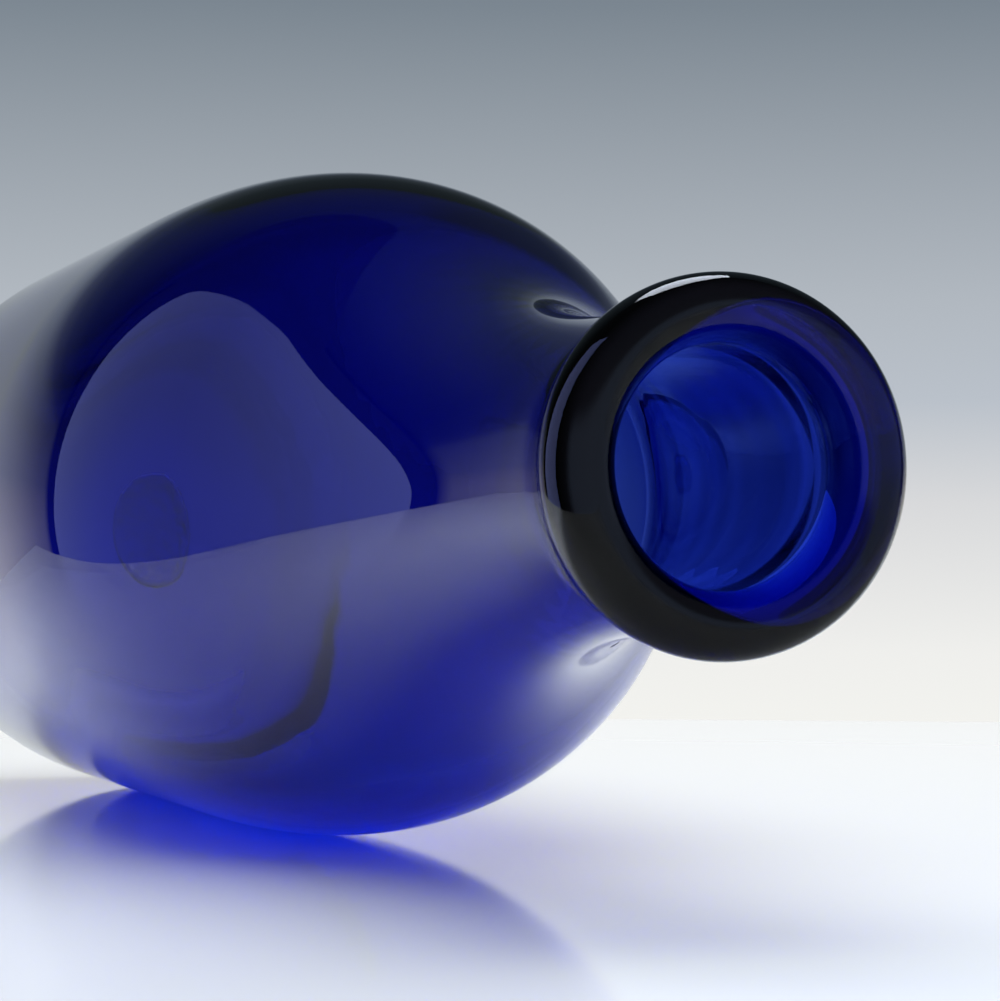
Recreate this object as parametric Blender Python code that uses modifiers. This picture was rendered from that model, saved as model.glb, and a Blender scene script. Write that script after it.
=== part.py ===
"""Glass serving bottle, hand blown in cobalt glass, lying on its side.

Three gathers of glass make it: the blown body with its neck, the collar wound round
the end of the neck, and the scar of glass left in the hollow of the base.
The bottle lies along Y with its mouth towards -Y and rests on the plane Z = 0.
Units are metres.
"""

import math

import bpy
from mathutils import Vector, geometry

# Neck, lip and collar
NECK_RADIUS = 0.0170
NECK_WALL = 0.0044
NECK_LENGTH = 0.0175
LIP_INSIDE = 0.0002
COLLAR_PROUD = 0.0025
COLLAR_HEIGHT = 0.0109

# Flare, shoulder and body
FLARE_LENGTH = 0.0765
SHOULDER_LENGTH = 0.0600
BODY_RADIUS = 0.0478
BODY_LENGTH = 0.0865
BODY_WALL = 0.0032

# Heel and base
HEEL_HEIGHT = 0.0270
HEEL_DEPTH = 0.0120
BASE_THICKNESS = 0.0060
RING_WIDTH = 0.0050
PUNT_DEPTH = 0.0160

# Scar of the glassmaker's rod
SCAR_THICKNESS = 0.0010
SCAR_RIM = 0.0008

# Pieces that seat on each other keep this apart
SEAT_GAP = 0.0003

# Where the flare meets the shoulder, as a share of the rise from neck to body
FLARE_RISE_SHARE = 0.58
# Handles of the flare's curve: along the neck, and back from the shoulder
FLARE_HANDLE_SHARES = (0.275, 0.316)
# Handles of the shoulder's curve: away from the flare, and back along the body
SHOULDER_HANDLE_SHARES = (0.244, 0.606)
# Rise per unit of length where flare and shoulder meet
SHOULDER_SLOPE_SHARE = 0.60
SCAR_RADIUS_SHARE = 0.30
SCAR_RIM_WIDTH_SHARE = 0.35

# Fineness of the turned surfaces
TURN_STEPS = 64
LIP_STEPS = 11
COLLAR_STEPS = 10
FLARE_STEPS = 9
SHOULDER_STEPS = 10
HEEL_STEPS = 7
PUNT_STEPS = 7
SCAR_STEPS = 4
SHARP_ANGLE = math.radians(35)
MERGE_LIMIT = 1e-6

# Sizes that follow from those above
BORE_RADIUS = NECK_RADIUS - NECK_WALL
MOUTH_RADIUS = BORE_RADIUS - LIP_INSIDE
COLLAR_RADIUS = NECK_RADIUS + COLLAR_PROUD
BOTTLE_LENGTH = NECK_LENGTH + FLARE_LENGTH + SHOULDER_LENGTH + BODY_LENGTH + HEEL_HEIGHT
FLARE_TOP = BOTTLE_LENGTH - NECK_LENGTH
FLARE_FOOT = FLARE_TOP - FLARE_LENGTH
BODY_TOP = HEEL_HEIGHT + BODY_LENGTH
FLARE_FOOT_RADIUS = NECK_RADIUS + FLARE_RISE_SHARE * (BODY_RADIUS - NECK_RADIUS)
RING_RADIUS = BODY_RADIUS - HEEL_DEPTH
PUNT_RADIUS = RING_RADIUS - RING_WIDTH
SCAR_RADIUS = SCAR_RADIUS_SHARE * PUNT_RADIUS
HALF_STEP = math.pi / TURN_STEPS
REST_HEIGHT = BODY_RADIUS * math.cos(HALF_STEP)


def clear_scene():
    for obj in list(bpy.data.objects):
        bpy.data.objects.remove(obj, do_unlink=True)


def glass(name, colour, roughness):
    material = bpy.data.materials.new(name)
    material.use_nodes = True
    shader = material.node_tree.nodes["Principled BSDF"]
    shader.inputs["Base Color"].default_value = (*colour, 1.0)
    shader.inputs["Roughness"].default_value = roughness
    shader.inputs["Metallic"].default_value = 0.0
    shader.inputs["IOR"].default_value = 1.52
    return material


def ellipse_arc(centre, across, along, first, last, steps):
    """Points on an ellipse from one angle to another, both ends included."""
    points = []
    for i in range(steps + 1):
        angle = first + (last - first) * i / steps
        points.append(
            Vector((centre[0] + across * math.cos(angle), centre[1] + along * math.sin(angle)))
        )
    return points


def smooth_curve(start, start_handle, end_handle, end, steps):
    """Points on a Bezier curve, both ends included."""
    return [
        Vector(point[:2])
        for point in geometry.interpolate_bezier(
            start.to_3d(), start_handle.to_3d(), end_handle.to_3d(), end.to_3d(), steps + 1
        )
    ]


def neck_to_body():
    """Outer line from the foot of the neck, over flare and shoulder, to the body."""
    neck_end = Vector((NECK_RADIUS, FLARE_TOP))
    meeting = Vector((FLARE_FOOT_RADIUS, FLARE_FOOT))
    body_start = Vector((BODY_RADIUS, BODY_TOP))
    slope = Vector((SHOULDER_SLOPE_SHARE, -1))
    down = Vector((0, -1))
    flare = smooth_curve(
        neck_end,
        neck_end + down * FLARE_LENGTH * FLARE_HANDLE_SHARES[0],
        meeting - slope * FLARE_LENGTH * FLARE_HANDLE_SHARES[1],
        meeting,
        FLARE_STEPS,
    )
    shoulder = smooth_curve(
        meeting,
        meeting + slope * SHOULDER_LENGTH * SHOULDER_HANDLE_SHARES[0],
        body_start - down * SHOULDER_LENGTH * SHOULDER_HANDLE_SHARES[1],
        body_start,
        SHOULDER_STEPS,
    )
    return flare + shoulder[1:]


def inside_of(outer):
    """The line a wall's thickness inside the outer one, thicker towards the body."""
    top = outer[0].y
    bottom = outer[-1].y
    inner = []
    for i, point in enumerate(outer):
        before = outer[max(i - 1, 0)]
        after = outer[min(i + 1, len(outer) - 1)]
        if i in (0, len(outer) - 1):
            towards_wall = Vector((1, 0))
        else:
            run = (after - before).normalized()
            towards_wall = Vector((-run.y, run.x))
        share = (top - point.y) / (top - bottom)
        wall = NECK_WALL + share * (BODY_WALL - NECK_WALL)
        inner.append(point - towards_wall * wall)
    return inner


def punt_height(radius):
    """Height of the hollow under the base at a distance from the axis."""
    across = min(radius / PUNT_RADIUS, 1)
    return PUNT_DEPTH * (1 - across**2) ** 2


def lip_section():
    """Centre, half width and half height of the oval that neck end and collar share."""
    across = (COLLAR_RADIUS - MOUTH_RADIUS) / 2
    along = COLLAR_HEIGHT / 2
    return (MOUTH_RADIUS + across, BOTTLE_LENGTH - along), across, along


def lip_angle(radius):
    """Angle on the upper half of the lip's oval at which it crosses a radius."""
    centre, across, _ = lip_section()
    return math.acos((radius - centre[0]) / across)


def body_profile():
    """From the axis inside the base, up the inside, over the mouth, down the outside."""
    outer = neck_to_body()
    inner_base = []
    for i in range(PUNT_STEPS + 1):
        radius = PUNT_RADIUS * i / PUNT_STEPS
        inner_base.append(Vector((radius, punt_height(radius) + BASE_THICKNESS)))
    inner_heel = ellipse_arc(
        (PUNT_RADIUS, HEEL_HEIGHT),
        BODY_RADIUS - BODY_WALL - PUNT_RADIUS,
        HEEL_HEIGHT - BASE_THICKNESS,
        -math.pi / 2,
        0,
        HEEL_STEPS,
    )
    centre, across, along = lip_section()
    below_lip = 2 * math.pi - lip_angle(BORE_RADIUS)
    mouth = ellipse_arc(centre, across, along, below_lip, lip_angle(NECK_RADIUS), LIP_STEPS)
    outer_heel = ellipse_arc(
        (RING_RADIUS, HEEL_HEIGHT), HEEL_DEPTH, HEEL_HEIGHT, 0, -math.pi / 2, HEEL_STEPS
    )
    underside = []
    for i in range(PUNT_STEPS + 1):
        radius = PUNT_RADIUS * (1 - i / PUNT_STEPS)
        underside.append(Vector((radius, punt_height(radius))))
    inside = inner_base + inner_heel[1:] + inside_of(outer)[::-1]
    return inside + mouth + outer + outer_heel + underside


def collar_profile():
    """Closed outline of the collar, round outside and straight against the neck."""
    centre, across, along = lip_section()
    seat = lip_angle(NECK_RADIUS + SEAT_GAP)
    return ellipse_arc(centre, across, along, seat, -seat, COLLAR_STEPS)


def scar_profile():
    """A thin disc that follows the hollow of the base, with a raised broken rim."""
    upper = []
    lower = []
    for i in range(SCAR_STEPS + 1):
        radius = SCAR_RADIUS * i / SCAR_STEPS
        height = punt_height(radius) - SEAT_GAP
        rim = max(0, 1 - (SCAR_RADIUS - radius) / (SCAR_RADIUS * SCAR_RIM_WIDTH_SHARE))
        upper.append(Vector((radius, height)))
        lower.append(Vector((radius, height - SCAR_THICKNESS - SCAR_RIM * rim)))
    edge_radius = (lower[-1].y - upper[-1].y) / -2
    edge_middle = (SCAR_RADIUS, upper[-1].y - edge_radius)
    edge = ellipse_arc(
        edge_middle, edge_radius, edge_radius, math.pi / 2, -math.pi / 2, SCAR_STEPS
    )
    return upper[:-1] + edge + lower[-2::-1]


def turned(name, profile, material, collection, parent, closed=False):
    """Turns an outline of radii and heights about the bottle's axis."""
    mesh = bpy.data.meshes.new(name)
    corners = [(point.x, 0, point.y) for point in profile]
    edges = [(i, i + 1) for i in range(len(corners) - 1)]
    if closed:
        edges.append((len(corners) - 1, 0))
    mesh.from_pydata(corners, edges, [])
    piece = bpy.data.objects.new(name, mesh)
    collection.objects.link(piece)
    piece.parent = parent
    piece.rotation_euler = (0, 0, HALF_STEP)

    screw = piece.modifiers.new("turn", "SCREW")
    screw.axis = "Z"
    screw.angle = 2 * math.pi
    screw.steps = TURN_STEPS
    screw.render_steps = TURN_STEPS
    screw.use_merge_vertices = True
    screw.merge_threshold = MERGE_LIMIT
    screw.use_smooth_shade = True

    graph = bpy.context.evaluated_depsgraph_get()
    graph.update()
    solid = bpy.data.meshes.new_from_object(piece.evaluated_get(graph))
    piece.modifiers.clear()
    piece.data = solid
    solid.name = name
    bpy.data.meshes.remove(mesh)
    solid.shade_smooth()
    solid.set_sharp_from_angle(angle=SHARP_ANGLE)
    solid.materials.clear()
    solid.materials.append(material)
    return piece


def build():
    clear_scene()
    parts = bpy.data.collections.new("glass_serving_bottle")
    bpy.context.scene.collection.children.link(parts)

    # The bottle's axis, from the base at +Y to the mouth at -Y
    axis = bpy.data.objects.new("bottle_axis", None)
    parts.objects.link(axis)
    axis.location = (0, BOTTLE_LENGTH / 2, REST_HEIGHT)
    axis.rotation_euler = (math.pi / 2, 0, 0)

    body_glass = glass("body_glass", (0.010, 0.030, 0.300), 0.03)
    collar_glass = glass("collar_glass", (0.006, 0.012, 0.110), 0.05)
    scar_glass = glass("scar_glass", (0.020, 0.050, 0.330), 0.35)

    turned("glass_body", body_profile(), body_glass, parts, axis)
    turned("lip_collar", collar_profile(), collar_glass, parts, axis, closed=True)
    turned("pontil_scar", scar_profile(), scar_glass, parts, axis)


build()
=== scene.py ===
"""The glass serving bottle dressed for its picture: fine glass, table, light and camera."""

import math

import bmesh
import bpy
from mathutils import Matrix, Vector, noise


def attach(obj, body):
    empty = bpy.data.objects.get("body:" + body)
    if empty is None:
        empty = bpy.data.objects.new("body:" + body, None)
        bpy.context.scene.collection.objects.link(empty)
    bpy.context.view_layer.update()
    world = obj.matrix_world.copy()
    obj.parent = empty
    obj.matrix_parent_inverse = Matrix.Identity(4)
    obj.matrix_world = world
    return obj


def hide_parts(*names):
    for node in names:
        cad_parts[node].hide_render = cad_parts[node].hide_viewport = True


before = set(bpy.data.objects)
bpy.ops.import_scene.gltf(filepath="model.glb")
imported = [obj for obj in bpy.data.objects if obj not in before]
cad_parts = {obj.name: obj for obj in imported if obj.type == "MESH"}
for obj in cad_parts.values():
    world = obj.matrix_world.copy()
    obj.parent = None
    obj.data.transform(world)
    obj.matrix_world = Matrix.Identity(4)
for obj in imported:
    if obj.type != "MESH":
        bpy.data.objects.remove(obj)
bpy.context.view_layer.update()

# Sizes of the bottle, in metres, as its frame has them. Only the body's radius is
# 0.1 mm less, which keeps the finer mesh inside the frame's facets.
NECK_RADIUS = 0.0170
NECK_WALL = 0.0044
NECK_LENGTH = 0.0175
LIP_INSIDE = 0.0002
COLLAR_PROUD = 0.0025
COLLAR_HEIGHT = 0.0109
FLARE_LENGTH = 0.0765
SHOULDER_LENGTH = 0.0600
BODY_RADIUS = 0.0477
BODY_LENGTH = 0.0865
BODY_WALL = 0.0032
HEEL_HEIGHT = 0.0270
HEEL_DEPTH = 0.0120
BASE_THICKNESS = 0.0060
RING_WIDTH = 0.0050
PUNT_DEPTH = 0.0160
SCAR_THICKNESS = 0.0010
SCAR_RIM = 0.0008
SEAT_GAP = 0.0003
AXIS_HEIGHT = 0.047742

FLARE_RISE_SHARE = 0.58
FLARE_HANDLE_SHARES = (0.275, 0.316)
SHOULDER_HANDLE_SHARES = (0.244, 0.606)
SHOULDER_SLOPE_SHARE = 0.60
SCAR_RADIUS_SHARE = 0.30
SCAR_RIM_WIDTH_SHARE = 0.35

BORE_RADIUS = NECK_RADIUS - NECK_WALL
MOUTH_RADIUS = BORE_RADIUS - LIP_INSIDE
COLLAR_RADIUS = NECK_RADIUS + COLLAR_PROUD
BOTTLE_LENGTH = NECK_LENGTH + FLARE_LENGTH + SHOULDER_LENGTH + BODY_LENGTH + HEEL_HEIGHT
RING_RADIUS = BODY_RADIUS - HEEL_DEPTH
PUNT_RADIUS = RING_RADIUS - RING_WIDTH
SCAR_RADIUS = SCAR_RADIUS_SHARE * PUNT_RADIUS

# How far the hand-made lip sits above the body's axis, and where the lift begins and ends
LIP_LIFT = 0.00095
LIFT_START = BOTTLE_LENGTH - 0.100
LIFT_REACH = 0.095
# How far the lip's end stays back, so that it keeps inside the frame's facets
LIP_SHORT = 0.00003
# The fillets where the lip's oval melts into the neck
FILLET_START = 0.0001
FILLET_REACH = 0.0030
FILLET_HANDLE_STEPS = 1.5
# How far the body's inside sits below its outside: its lower wall is the thinner one
INNER_DROP = 0.0011
DROP_START = 0.215
DROP_REACH = 0.075
# How much thicker the glass is in the heel's lower half
HEEL_GATHER = 0.0015
GATHER_SIDES = 1.2
GATHER_SKEW = 1.4
# Swell of the hand-made wall, as shares of the radius, and its fineness
INNER_SWELL = 0.010
OUTER_SWELL = 0.0012
SWELL_SCALE = 0.9
SWELL_ALONG = 14
# Swirl in the wall of the neck
SWIRL_DEPTH = 0.00001
SWIRL_TURN = 900
SWIRL_WANDER = 2.2
SWIRL_START = 0.150
SWIRL_REACH = 0.060
# Broken glass of the scar
CHIP_SCALE = 420
CHIPPED_WIDTH = 0.004
RIM_CHIPS = 0.03
CHIP_DEPTH = 0.00030
RIDGE_HEIGHT = 0.0002

# Fineness of the meshes
TURNS = 160
BASE_STEPS = 20
INNER_HEEL_STEPS = 18
OUTER_HEEL_STEPS = 20
BODY_STEPS = 30
SHOULDER_STEPS = 44
FLARE_STEPS = 48
FILLET_STEPS = 10
LIP_STEPS = 56
SCAR_STEPS = 14
SCAR_EDGE_STEPS = 10
ON_AXIS = 1e-7

# Rows of the bottle's mesh, counted from the middle of the base up the inside
INNER_BASE_ROWS = BASE_STEPS + 1
INSIDE_ROWS = (
    INNER_BASE_ROWS + INNER_HEEL_STEPS + BODY_STEPS + SHOULDER_STEPS + FLARE_STEPS + FILLET_STEPS
)


def clamp(value):
    return max(0, min(1, value))


def smooth(value):
    """0 to 1, with soft ends."""
    value = clamp(value)
    return value * value * (3 - 2 * value)


def arc(centre, across, along, first, last, steps):
    """Points on an ellipse from one angle to another."""
    points = []
    for i in range(steps + 1):
        angle = first + (last - first) * i / steps
        points.append(
            Vector((centre[0] + across * math.cos(angle), centre[1] + along * math.sin(angle)))
        )
    return points


def bezier(a, b, c, d, steps):
    points = []
    for i in range(steps + 1):
        t = i / steps
        u = 1 - t
        points.append(a * u**3 + b * 3 * u * u * t + c * 3 * u * t * t + d * t**3)
    return points


def straight(a, b, steps):
    return [a.lerp(b, i / steps) for i in range(steps + 1)]


def punt_height(radius):
    """Height of the hollow under the base at a distance from the axis."""
    across = min(radius / PUNT_RADIUS, 1)
    return PUNT_DEPTH * (1 - across**2) ** 2


def base_line(first, last, thickness):
    """Along the hollowed base, from one distance from the axis to another."""
    radii = [first + (last - first) * i / BASE_STEPS for i in range(BASE_STEPS + 1)]
    return [Vector((radius, punt_height(radius) + thickness)) for radius in radii]


def outer_line():
    """From the foot of the straight neck to the top of the straight body."""
    top = BOTTLE_LENGTH - NECK_LENGTH
    foot = top - FLARE_LENGTH
    foot_radius = NECK_RADIUS + FLARE_RISE_SHARE * (BODY_RADIUS - NECK_RADIUS)
    neck_end = Vector((NECK_RADIUS, top))
    meeting = Vector((foot_radius, foot))
    body_top = Vector((BODY_RADIUS, foot - SHOULDER_LENGTH))
    slope = Vector((SHOULDER_SLOPE_SHARE, -1))
    down = Vector((0, -1))
    flare = bezier(
        neck_end,
        neck_end + down * FLARE_LENGTH * FLARE_HANDLE_SHARES[0],
        meeting - slope * FLARE_LENGTH * FLARE_HANDLE_SHARES[1],
        meeting,
        FLARE_STEPS,
    )
    shoulder = bezier(
        meeting,
        meeting + slope * SHOULDER_LENGTH * SHOULDER_HANDLE_SHARES[0],
        body_top - down * SHOULDER_LENGTH * SHOULDER_HANDLE_SHARES[1],
        body_top,
        SHOULDER_STEPS,
    )
    return flare + shoulder[1:]


def inside_of(outer):
    """The line a wall's thickness inside the outer one, thinner towards the body."""
    inner = []
    for i, point in enumerate(outer):
        before = outer[max(i - 1, 0)]
        after = outer[min(i + 1, len(outer) - 1)]
        run = (after - before).normalized()
        towards_wall = Vector((-run.y, run.x))
        share = (outer[0].y - point.y) / (outer[0].y - outer[-1].y)
        wall = NECK_WALL + share * (BODY_WALL - NECK_WALL)
        inner.append(point - towards_wall * wall)
    return inner


def bottle_outline():
    """Axis inside the base, up the inside, over the rolled lip, down the outside, the punt."""
    outer = outer_line()
    inner = inside_of(outer)
    inner_heel = arc(
        (PUNT_RADIUS, HEEL_HEIGHT),
        BODY_RADIUS - BODY_WALL - PUNT_RADIUS,
        HEEL_HEIGHT - BASE_THICKNESS,
        -math.pi / 2,
        0,
        INNER_HEEL_STEPS,
    )
    inner_body = straight(inner_heel[-1], inner[-1], BODY_STEPS)
    across = (COLLAR_RADIUS - MOUTH_RADIUS) / 2
    along = COLLAR_HEIGHT / 2
    centre = (MOUTH_RADIUS + across, BOTTLE_LENGTH - along - LIP_SHORT)
    in_low = -math.acos((BORE_RADIUS + FILLET_START - centre[0]) / across)
    out_low = -math.acos((NECK_RADIUS - FILLET_START - centre[0]) / across)
    oval = arc(centre, across, along, in_low + 2 * math.pi, out_low, LIP_STEPS)
    along_neck = Vector((0, FILLET_REACH))
    inner_neck = bezier(
        inner[0],
        inner[0] + along_neck,
        oval[0] + (oval[0] - oval[1]) * FILLET_HANDLE_STEPS,
        oval[0],
        FILLET_STEPS,
    )
    outer_neck = bezier(
        oval[-1],
        oval[-1] + (oval[-1] - oval[-2]) * FILLET_HANDLE_STEPS,
        outer[0] + along_neck,
        outer[0],
        FILLET_STEPS,
    )
    outer_body = straight(outer[-1], Vector((BODY_RADIUS, HEEL_HEIGHT)), BODY_STEPS)
    outer_heel = arc(
        (RING_RADIUS, HEEL_HEIGHT), HEEL_DEPTH, HEEL_HEIGHT, 0, -math.pi / 2, OUTER_HEEL_STEPS
    )
    upwards = [inner_heel, inner_body, inner[::-1], inner_neck]
    downwards = [outer_neck, outer, outer_body, outer_heel]
    line = base_line(0, PUNT_RADIUS, BASE_THICKNESS)
    for stretch in [*upwards, oval, *downwards]:
        line.extend(stretch[1:])
    return line + base_line(PUNT_RADIUS, 0, 0)


def bottle_shape(radius, height, angle, row):
    """Slight unevenness of hand-blown glass; the outside never grows past the frame."""
    where = Vector((math.cos(angle), math.sin(angle), height * SWELL_ALONG))
    swell = noise.noise(where * SWELL_SCALE)
    if row >= INSIDE_ROWS:
        return radius * (1 - OUTER_SWELL * (1 + swell)), height
    heel = (row - INNER_BASE_ROWS + 1) / INNER_HEEL_STEPS
    if 0 < heel < 1:
        # Glass gathers in the heel's lower half; through the body it is a dark arc
        inwards = Vector((PUNT_RADIUS - radius, HEEL_HEIGHT - height)).normalized()
        lower = smooth(0.5 - GATHER_SIDES * math.sin(angle))
        inwards *= HEEL_GATHER * lower * math.sin(math.pi * heel**GATHER_SKEW) ** 2
        radius += inwards.x
        height += inwards.y
    radius *= 1 + INNER_SWELL * swell
    body = smooth((DROP_START - height) / DROP_REACH)
    radius -= INNER_DROP * min(1, radius / PUNT_RADIUS) * body * math.sin(angle)
    neck = clamp((height - SWIRL_START) / SWIRL_REACH)
    swirl = math.sin(2 * angle + height * SWIRL_TURN + SWIRL_WANDER * swell)
    radius += SWIRL_DEPTH * swirl * neck
    return radius, height


def scar_outline():
    """A thin disc that follows the hollow of the base, with a raised rim."""
    upper = []
    lower = []
    for i in range(SCAR_STEPS + 1):
        radius = SCAR_RADIUS * i / SCAR_STEPS
        height = punt_height(radius) - SEAT_GAP
        rim = max(0, 1 - (SCAR_RADIUS - radius) / (SCAR_RADIUS * SCAR_RIM_WIDTH_SHARE))
        upper.append(Vector((radius, height)))
        lower.append(Vector((radius, height - SCAR_THICKNESS - SCAR_RIM * rim)))
    half = (upper[-1].y - lower[-1].y) / 2
    middle = (SCAR_RADIUS, upper[-1].y - half)
    edge = arc(middle, half, half, math.pi / 2, -math.pi / 2, SCAR_EDGE_STEPS)
    return upper[:-1] + edge + lower[-2::-1]


def scar_shape(radius, height, angle, row):
    """Broken glass: chipped rim and shell-shaped hollows on the free side only."""
    if row <= SCAR_STEPS:
        return radius, height
    where = Vector((radius * math.cos(angle), radius * math.sin(angle), 0)) * CHIP_SCALE
    chip = noise.fractal(where, 0.8, 2.1, 3)
    rim = max(0, 1 - abs(SCAR_RADIUS - radius) / CHIPPED_WIDTH)
    radius *= 1 + RIM_CHIPS * rim * chip
    return radius, height + CHIP_DEPTH * chip + RIDGE_HEIGHT * abs(chip)


def add_object(name, data):
    made = bpy.data.objects.new(name, data)
    bpy.context.scene.collection.objects.link(made)
    return made


def turn(name, outline, shape):
    """Turns an outline about the bottle's axis into one closed mesh along Y."""
    made = bmesh.new()
    rings = []
    for row, point in enumerate(outline):
        if point.x < ON_AXIS:
            rings.append([made.verts.new((0, 0, point.y))])
            continue
        ring = []
        for k in range(TURNS):
            angle = 2 * math.pi * k / TURNS
            radius, height = shape(point.x, point.y, angle, row)
            ring.append(
                made.verts.new((radius * math.cos(angle), radius * math.sin(angle), height))
            )
        rings.append(ring)
    for first, second in zip(rings, rings[1:]):
        for k in range(TURNS):
            following = (k + 1) % TURNS
            if len(first) == 1:
                corners = (first[0], second[following], second[k])
            elif len(second) == 1:
                corners = (first[k], first[following], second[0])
            else:
                corners = (first[k], first[following], second[following], second[k])
            made.faces.new(corners)
    bmesh.ops.recalc_face_normals(made, faces=made.faces)
    # The outline's height lies along -Y, with the mouth towards the camera. The neck leans:
    # its lip sits above the axis, and the body sits on it.
    lay = Matrix.Translation((0, BOTTLE_LENGTH / 2, AXIS_HEIGHT)) @ Matrix.Rotation(
        math.pi / 2, 4, "X"
    )
    for vert in made.verts:
        lift = LIP_LIFT * smooth((vert.co.z - LIFT_START) / LIFT_REACH)
        vert.co = lay @ vert.co
        vert.co.z += lift
    mesh = bpy.data.meshes.new(name)
    made.to_mesh(mesh)
    made.free()
    mesh.shade_smooth()
    return add_object(name, mesh)


bottle = turn("blown_glass", bottle_outline(), bottle_shape)
scar = turn("broken_scar", scar_outline(), scar_shape)


def fill(tree, node, inputs):
    """Gives a node's inputs their values, or links them to other nodes' outputs."""
    for name, value in inputs.items():
        if isinstance(value, bpy.types.NodeSocket):
            tree.links.new(value, node.inputs[name])
        else:
            node.inputs[name].default_value = value
    return node


def add_node(tree, kind, inputs):
    return fill(tree, tree.nodes.new(kind), inputs)


def math_node(tree, operation, a, b):
    made = tree.nodes.new("ShaderNodeMath")
    made.operation = operation
    return fill(tree, made, {0: a, 1: b}).outputs["Value"]


def map_range(tree, value, limits, results=(0.0, 1.0), kind="SMOOTHSTEP"):
    """From one pair of limits to another, and level beyond them."""
    made = tree.nodes.new("ShaderNodeMapRange")
    made.interpolation_type = kind
    fill(tree, made, {"Value": value, "From Min": limits[0], "From Max": limits[1]})
    return fill(tree, made, {"To Min": results[0], "To Max": results[1]}).outputs["Result"]


def mix_colours(tree, share, a, b):
    made = tree.nodes.new("ShaderNodeMix")
    made.data_type = "RGBA"
    return fill(tree, made, {"Factor": share, "A": a, "B": b}).outputs["Result"]


def colour_ramp(tree, share, stops):
    """Colours along a value between 0 and 1."""
    made = tree.nodes.new("ShaderNodeValToRGB")
    elements = made.color_ramp.elements
    while len(elements) < len(stops):
        elements.new(0.5)
    for element, (position, colour) in zip(elements, stops):
        element.position = position
        element.color = (*colour, 1)
    tree.links.new(share, made.inputs["Fac"])
    return made.outputs["Color"]


def ramp(tree, source, low, high, stops):
    """Colours along a value between two limits."""
    share = math_node(tree, "DIVIDE", math_node(tree, "SUBTRACT", source, low), high - low)
    placed = [((where - low) / (high - low), colour) for where, colour in stops]
    return colour_ramp(tree, share, placed)


def material(name):
    made = bpy.data.materials.new(name)
    made.use_nodes = True
    return made, made.node_tree, made.node_tree.nodes["Principled BSDF"]


COBALT = (0.166, 0.367, 0.850, 1)


def glass(name, roughness, density, ripple):
    """Clear glass whose colour comes from the thickness that light passes."""
    made, tree, shader = material(name)
    place = tree.nodes.new("ShaderNodeTexCoord").outputs["Object"]
    # Long draws of glass wind round the axis, so the grain is stretched along it
    stretch = add_node(
        tree, "ShaderNodeMapping", {"Vector": place, "Scale": (1.0, 0.35, 1.0)}
    ).outputs["Vector"]
    draws = add_node(
        tree,
        "ShaderNodeTexNoise",
        {"Vector": stretch, "Scale": 55, "Detail": 3, "Distortion": 0.6},
    )
    tint = colour_ramp(
        tree, draws.outputs["Fac"], [(0.35, (0.80, 0.86, 1.0)), (0.70, (0.95, 0.97, 1.0))]
    )
    wear = add_node(tree, "ShaderNodeTexNoise", {"Vector": place, "Scale": 900, "Detail": 4})
    worn = map_range(
        tree, wear.outputs["Fac"], (0.45, 0.75), (roughness, roughness + 0.02), "LINEAR"
    )
    waves = add_node(tree, "ShaderNodeTexNoise", {"Vector": stretch, "Scale": 38, "Detail": 1})
    bump = add_node(
        tree,
        "ShaderNodeBump",
        {"Height": waves.outputs["Fac"], "Strength": ripple, "Distance": 0.0006},
    )
    fill(
        tree,
        shader,
        {
            "Base Color": tint,
            "Roughness": worn,
            "Normal": bump.outputs["Normal"],
            "IOR": 1.5,
            "Transmission Weight": 1.0,
        },
    )
    depth = add_node(tree, "ShaderNodeVolumeAbsorption", {"Color": COBALT, "Density": density})
    fill(tree, tree.nodes["Material Output"], {"Volume": depth.outputs["Volume"]})
    return made


body_glass = glass("body_glass_fine", roughness=0.0, density=1000, ripple=0.25)
scar_glass = glass("scar_glass_fine", roughness=0.22, density=700, ripple=0.8)
bottle.data.materials.append(body_glass)
scar.data.materials.append(scar_glass)

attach(bottle, "root")
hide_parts("glass_body", "lip_collar")
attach(scar, "root")
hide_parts("pontil_scar")

# Camera: where the photograph was taken from
RIGHT = Vector((0.938034, -0.346464, 0.007440))
DOWN = Vector((0.016316, 0.022710, -0.999609))
FORWARD = Vector((0.346159, 0.937788, 0.026956))
EYE = Vector((-0.117347, -0.381967, 0.037657))

lens = bpy.data.cameras.new("camera")
lens.lens = 100.8
lens.sensor_width = 36
lens.sensor_fit = "HORIZONTAL"
lens.clip_start = 0.01
camera = add_object("camera", lens)
camera.matrix_world = Matrix(
    (
        (RIGHT.x, -DOWN.x, -FORWARD.x, EYE.x),
        (RIGHT.y, -DOWN.y, -FORWARD.y, EYE.y),
        (RIGHT.z, -DOWN.z, -FORWARD.z, EYE.z),
        (0, 0, 0, 1),
    )
)
bpy.context.scene.camera = camera

# The camera's view along the table, and to the right of it
ahead = Vector((FORWARD.x, FORWARD.y, 0)).normalized()
aside = Vector((ahead.y, -ahead.x, 0))
below_eye = Vector((EYE.x, EYE.y, 0))

# Table: a glossy white sheet with a straight left edge
EDGE_TURN = math.radians(12.73)
EDGE_DISTANCE = 0.1366
MOUTH_Y = -0.1283
FAR_EDGE = 0.7425
TABLE_WIDTH = 2.4
TABLE_REACH = 1.6
NEAR_EDGE_SLANT = 0.2
TABLE_THICKNESS = 0.008
edge_out = Vector((-math.cos(EDGE_TURN), -math.sin(EDGE_TURN), 0))
edge_along = Vector((-math.sin(EDGE_TURN), math.cos(EDGE_TURN), 0))
edge_foot = Vector((0, MOUTH_Y, 0)) + edge_out * EDGE_DISTANCE

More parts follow.
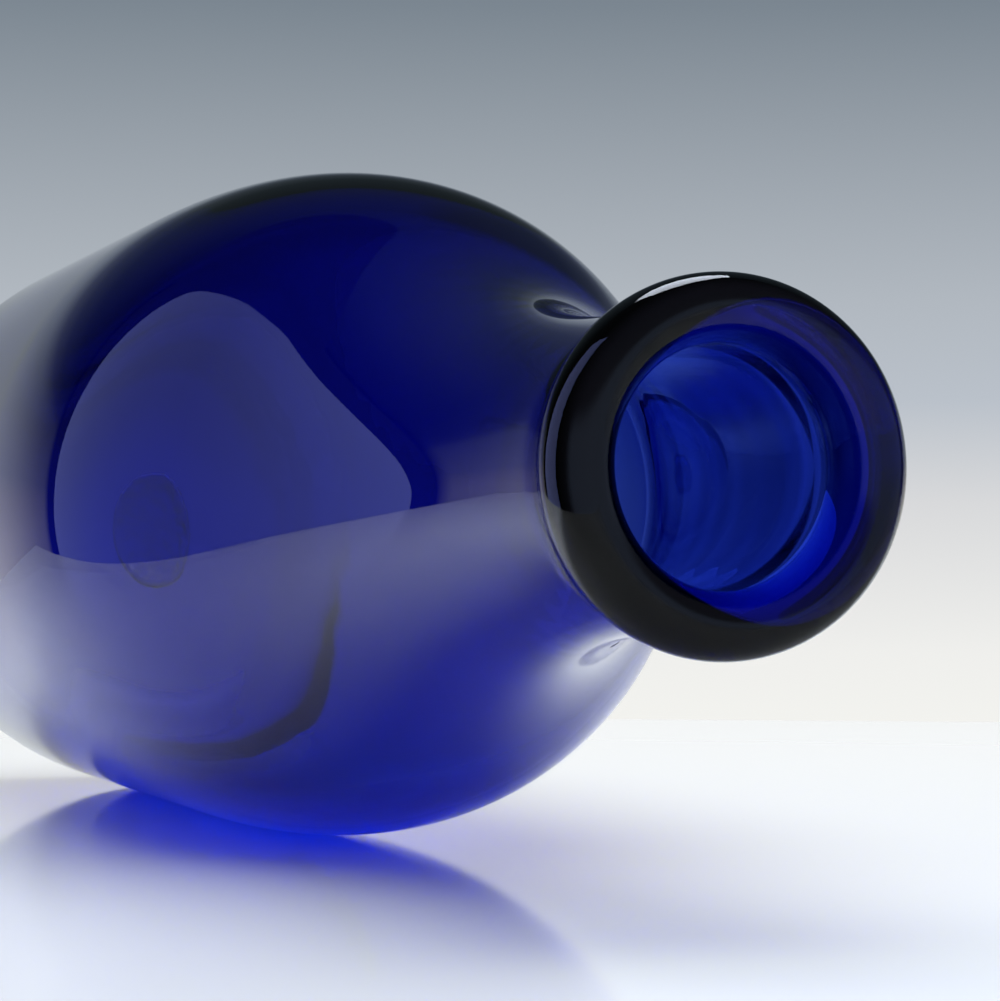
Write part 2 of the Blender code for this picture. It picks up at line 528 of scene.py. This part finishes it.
# The left edge ends where it crosses the far edge
far_point = below_eye + ahead * FAR_EDGE
edge_length = (far_point - edge_foot).dot(ahead) / edge_along.dot(ahead)
far_left = edge_foot + edge_along * edge_length
far_right = far_left + aside * TABLE_WIDTH
near_left = edge_foot - edge_along * TABLE_REACH
near_right = near_left + aside * TABLE_WIDTH - ahead * NEAR_EDGE_SLANT

above = [near_left, near_right, far_right, far_left]
below = [corner - Vector((0, 0, TABLE_THICKNESS)) for corner in above]
slab = bpy.data.meshes.new("table_top")
slab.from_pydata(
    above + below,
    [],
    [(0, 1, 2, 3), (7, 6, 5, 4), (0, 4, 5, 1), (1, 5, 6, 2), (2, 6, 7, 3), (3, 7, 4, 0)],
)
table = add_object("table_top", slab)


def mirror_ray(tree, rays):
    """1 for a ray that a surface mirrors, 0 for one that glass refracts and for the rest."""
    made = tree.nodes.new("ShaderNodeMath")
    made.operation = "SUBTRACT"
    made.use_clamp = True
    fill(tree, made, {0: rays["Is Glossy Ray"], 1: rays["Is Transmission Ray"]})
    return made.outputs["Value"]


def dress_table():
    """Mirrored in the glass, the sheet is darker near the mouth, where the camera shades it."""
    made, tree, shader = material("white_sheet")
    spot = tree.nodes.new("ShaderNodeNewGeometry")
    apart = add_node(tree, "ShaderNodeSeparateXYZ", {"Vector": spot.outputs["Position"]})
    near_mouth = map_range(tree, apart.outputs["Y"], (-0.080, -0.030), (0.75, 0.0))
    rays = tree.nodes.new("ShaderNodeLightPath").outputs
    shade = math_node(tree, "MULTIPLY", near_mouth, mirror_ray(tree, rays))
    tone = mix_colours(tree, shade, (0.76, 0.81, 0.85, 1), (0.0, 0.0, 0.0, 1))
    fill(tree, shader, {"Base Color": tone, "Roughness": 0.06, "IOR": 1.49})
    table.data.materials.append(made)


dress_table()


def glowing(name, mesh):
    """Gives a mesh a material that only sends out light."""
    made = bpy.data.materials.new(name)
    made.use_nodes = True
    tree = made.node_tree
    tree.nodes.clear()
    light = tree.nodes.new("ShaderNodeEmission")
    add_node(tree, "ShaderNodeOutputMaterial", {"Surface": light.outputs["Emission"]})
    mesh.materials.append(made)
    return tree, light


def stage_card(name, corners):
    """A flat card that the camera doesn't see and that doesn't light the table."""
    mesh = bpy.data.meshes.new(name)
    mesh.from_pydata([tuple(c) for c in corners], [], [tuple(range(len(corners)))])
    card = add_object(name, mesh)
    card.visible_camera = False
    card.visible_diffuse = False
    return card


def panel(name, corners, colour, strength):
    """A lit card that the glass mirrors, but that doesn't show through the glass."""
    card = stage_card(name, corners)
    card.visible_transmission = False
    tree, light = glowing(name, card.data)
    fill(tree, light, {"Color": (*colour, 1), "Strength": strength})
    return card


def direction(azimuth, elevation=0):
    """Unit vector; azimuth 0 is +Y and 90 is +X, in degrees."""
    a = math.radians(azimuth)
    e = math.radians(elevation)
    return Vector((math.sin(a) * math.cos(e), math.cos(a) * math.cos(e), math.sin(e)))


# Grey-blue card beyond the table's left edge; the body mirrors it as a dome
CARD_NEAR = Vector((-0.300, 0.020, 0))
CARD_AZIMUTH = -28.8
# Outline: distance along the card, height
CARD_OUTLINE = [
    (0.00, -0.50),
    (1.45, -0.50),
    (1.45, 0.00),
    (1.31, 0.27),
    (1.11, 0.53),
    (1.00, 0.70),
    (0.83, 0.83),
    (0.67, 0.95),
    (0.56, 0.92),
    (0.28, 0.75),
    (0.00, 0.55),
]
panel(
    "side_card",
    [
        CARD_NEAR + direction(CARD_AZIMUTH) * along + Vector((0, 0, height))
        for along, height in CARD_OUTLINE
    ],
    colour=(0.36, 0.43, 1.00),
    strength=1.0,
)

# Small bright card close above the mouth; only the top of the lip mirrors it
LIP_TOP = Vector((-0.005, -0.1315, 0.0665))
LIP_CARD_DISTANCE = 0.10
# Outline: azimuth and elevation as seen from the lip
LIP_CARD_OUTLINE = [
    (-10, 48),
    (4, 43),
    (18, 43),
    (34, 43),
    (40, 50),
    (34, 60),
    (12, 65),
    (-8, 60),
]
lip_card = panel(
    "lip_card",
    [LIP_TOP + direction(a, e) * LIP_CARD_DISTANCE for a, e in LIP_CARD_OUTLINE],
    colour=(0.92, 1.0, 1.16),
    strength=3.8,
)
lip_card.visible_shadow = False

# Colours of the backdrop at heights of a direction's end on the unit sphere, first as the
# camera sees them
BACKDROP = [
    (-0.060, (0.905, 0.905, 0.870)),
    (-0.026, (0.865, 0.865, 0.845)),
    (0.027, (0.687, 0.694, 0.708)),
    (0.063, (0.491, 0.533, 0.591)),
    (0.098, (0.440, 0.479, 0.527)),
    (0.201, (0.198, 0.238, 0.281)),
    (0.300, (0.110, 0.130, 0.150)),
]
BACKDROP_LOW = -0.1
BACKDROP_HIGH = 0.4
# What the glass mirrors of it, fading upwards
MIRRORED = BACKDROP[:5] + [
    (0.201, (0.227, 0.266, 0.309)),
    (0.235, (0.090, 0.110, 0.140)),
    (0.270, (0.050, 0.065, 0.080)),
    (0.340, (0.030, 0.042, 0.050)),
    (0.500, (0.030, 0.040, 0.050)),
    (0.700, (0.025, 0.035, 0.045)),
]
# What shows through the glass: the backdrop reaches higher there
THROUGH = BACKDROP[:5] + [
    (0.201, (0.340, 0.400, 0.460)),
    (0.300, (0.300, 0.350, 0.390)),
    (0.420, (0.280, 0.330, 0.370)),
    (0.600, (0.280, 0.330, 0.370)),
    (0.750, (0.010, 0.012, 0.015)),
]
# Brightness of the backdrop towards the left, where it is turned away from the light
FADE = [
    (-36, 0.0),
    (-34, 0.30),
    (-30, 0.38),
    (-25, 0.52),
    (-20, 0.66),
    (-15, 0.78),
    (-10, 0.88),
    (0, 0.96),
    (10, 1.0),
    (80, 1.0),
    (85, 0.1),
]
# The same for what shows through the glass, where the backdrop ends on the right too
FADE_THROUGH = FADE[:-3] + [(10, 1.0), (25, 1.0), (31, 0.45), (60, 0.25), (85, 0.1)]
# The dark room, a little lighter behind the camera
ROOM = [
    (-1.0, (0.110, 0.120, 0.170)),
    (-0.3, (0.080, 0.085, 0.130)),
    (0.4, (0.012, 0.014, 0.018)),
]
WHITE = (1.0, 1.0, 1.0, 1)
VEIL = (0.15, 0.20, 0.30, 1)
# The window: a round patch of directions and its soft border, in degrees
WINDOW_AZIMUTH = -45
WINDOW_ELEVATION = 88
WINDOW_RADIUS = 36
WINDOW_BORDER = 6
WINDOW_STRENGTH = 3.6
FILL_STRENGTH = 0.42
# How much more of the window reaches the table through the glass
THROUGH_GAIN = 7.5


def glow(tree, colour, strength):
    made = add_node(tree, "ShaderNodeBackground", {"Color": colour, "Strength": strength})
    return made.outputs[0]


def together(tree, a, b):
    return add_node(tree, "ShaderNodeAddShader", {0: a, 1: b}).outputs[0]


def window_patch(tree, place):
    """1 inside the window, 0 outside."""
    dot = tree.nodes.new("ShaderNodeVectorMath")
    dot.operation = "DOT_PRODUCT"
    fill(tree, dot, {0: place, 1: direction(WINDOW_AZIMUTH, WINDOW_ELEVATION)})
    limits = [
        math.cos(math.radians(angle))
        for angle in (WINDOW_RADIUS + WINDOW_BORDER, WINDOW_RADIUS - WINDOW_BORDER)
    ]
    return map_range(tree, dot.outputs["Value"], limits)


def build_world():
    """A pale backdrop for the camera, a window overhead, the rest of the room dark."""
    world = bpy.data.worlds.new("studio")
    bpy.context.scene.world = world
    world.use_nodes = True
    tree = world.node_tree
    tree.nodes.clear()
    place = tree.nodes.new("ShaderNodeTexCoord").outputs["Generated"]
    x, y, z = add_node(tree, "ShaderNodeSeparateXYZ", {"Vector": place}).outputs
    rays = tree.nodes.new("ShaderNodeLightPath").outputs
    through = rays["Is Transmission Ray"]
    not_glossy = math_node(tree, "SUBTRACT", 1.0, rays["Is Glossy Ray"])
    backdrop = ramp(tree, z, BACKDROP_LOW, BACKDROP_HIGH, BACKDROP)

    around = glow(tree, ramp(tree, y, -1.0, 1.0, ROOM), 1.0)

    # The window lights the table, also through the glass, which tints its light
    after_table = math_node(tree, "GREATER_THAN", rays["Diffuse Depth"], 0.5)
    tinted = math_node(
        tree, "MULTIPLY", math_node(tree, "MULTIPLY", through, after_table), THROUGH_GAIN
    )
    reaches = math_node(tree, "ADD", not_glossy, tinted)
    brightness = math_node(tree, "MULTIPLY", reaches, WINDOW_STRENGTH)
    window = glow(
        tree, WHITE, math_node(tree, "MULTIPLY", window_patch(tree, place), brightness)
    )
    fill_light = glow(tree, WHITE, math_node(tree, "MULTIPLY", not_glossy, FILL_STRENGTH))

    # Pale wall far to the left, which shows through the glass when it is seen from the right
    leftwards = map_range(tree, x, (-0.60, -0.90), (0.0, 0.9))
    wall = glow(tree, backdrop, math_node(tree, "MULTIPLY", through, leftwards))

    # The room behind the camera, low down, lies as a faint veil on the lip's near faces
    behind = map_range(tree, y, (0.10, -0.25))
    low_down = map_range(tree, z, (0.48, 0.20))
    veiled = math_node(tree, "MULTIPLY", behind, low_down)
    veil = glow(tree, VEIL, math_node(tree, "MULTIPLY", mirror_ray(tree, rays), veiled))

    lit = together(
        tree,
        around,
        together(tree, together(tree, window, wall), together(tree, veil, fill_light)),
    )
    seen = add_node(
        tree,
        "ShaderNodeMixShader",
        {0: rays["Is Camera Ray"], 1: lit, 2: glow(tree, backdrop, 1.0)},
    )
    add_node(tree, "ShaderNodeOutputWorld", {"Surface": seen.outputs[0]})


build_world()

# The backdrop as glass and table mirror it: a sheet that stands behind the table
BACKDROP_DISTANCE = 0.95
BODY_DISTANCE = 0.55
BODY_ASIDE = -0.022
SHEET_FOOT = -0.3


def backdrop_height(rise):
    """Height on the sheet of what the camera sees at a direction's height."""
    return EYE.z + BACKDROP_DISTANCE * math.tan(math.asin(rise))


def backdrop_place(azimuth):
    """Place along the sheet of what the body sees at an azimuth, in degrees."""
    turn_from_ahead = math.radians(azimuth) - math.atan2(ahead.x, ahead.y)
    return BODY_ASIDE + BODY_DISTANCE * math.tan(turn_from_ahead)


def build_backdrop():
    middle = below_eye + ahead * BACKDROP_DISTANCE
    left, right = backdrop_place(FADE[0][0]), backdrop_place(FADE[-1][0])
    low, top = backdrop_height(BACKDROP_LOW), backdrop_height(MIRRORED[-1][0])
    corners = [(left, SHEET_FOOT), (right, SHEET_FOOT), (right, top), (left, top)]
    sheet = stage_card(
        "backdrop",
        [middle + aside * where + Vector((0, 0, height)) for where, height in corners],
    )
    tree, light = glowing("backdrop", sheet.data)
    place = tree.nodes.new("ShaderNodeTexCoord").outputs["Object"]
    height = add_node(tree, "ShaderNodeSeparateXYZ", {"Vector": place}).outputs["Z"]
    along = tree.nodes.new("ShaderNodeVectorMath")
    along.operation = "DOT_PRODUCT"
    fill(tree, along, {0: place, 1: aside})
    where = math_node(tree, "SUBTRACT", along.outputs["Value"], middle.dot(aside))
    through = tree.nodes.new("ShaderNodeLightPath").outputs["Is Transmission Ray"]
    # Each is a pair: as the glass mirrors it, and as it shows through the glass
    colours = [
        ramp(tree, height, low, top, [(backdrop_height(rise), c) for rise, c in stops])
        for stops in (MIRRORED, THROUGH)
    ]
    fades = [
        ramp(tree, where, left, right, [(backdrop_place(a), (bright,) * 3) for a, bright in stops])
        for stops in (FADE, FADE_THROUGH)
    ]
    fill(
        tree,
        light,
        {
            "Color": mix_colours(tree, through, *colours),
            "Strength": mix_colours(tree, through, *fades),
        },
    )


build_backdrop()

bpy.context.scene.view_settings.view_transform = "Standard"
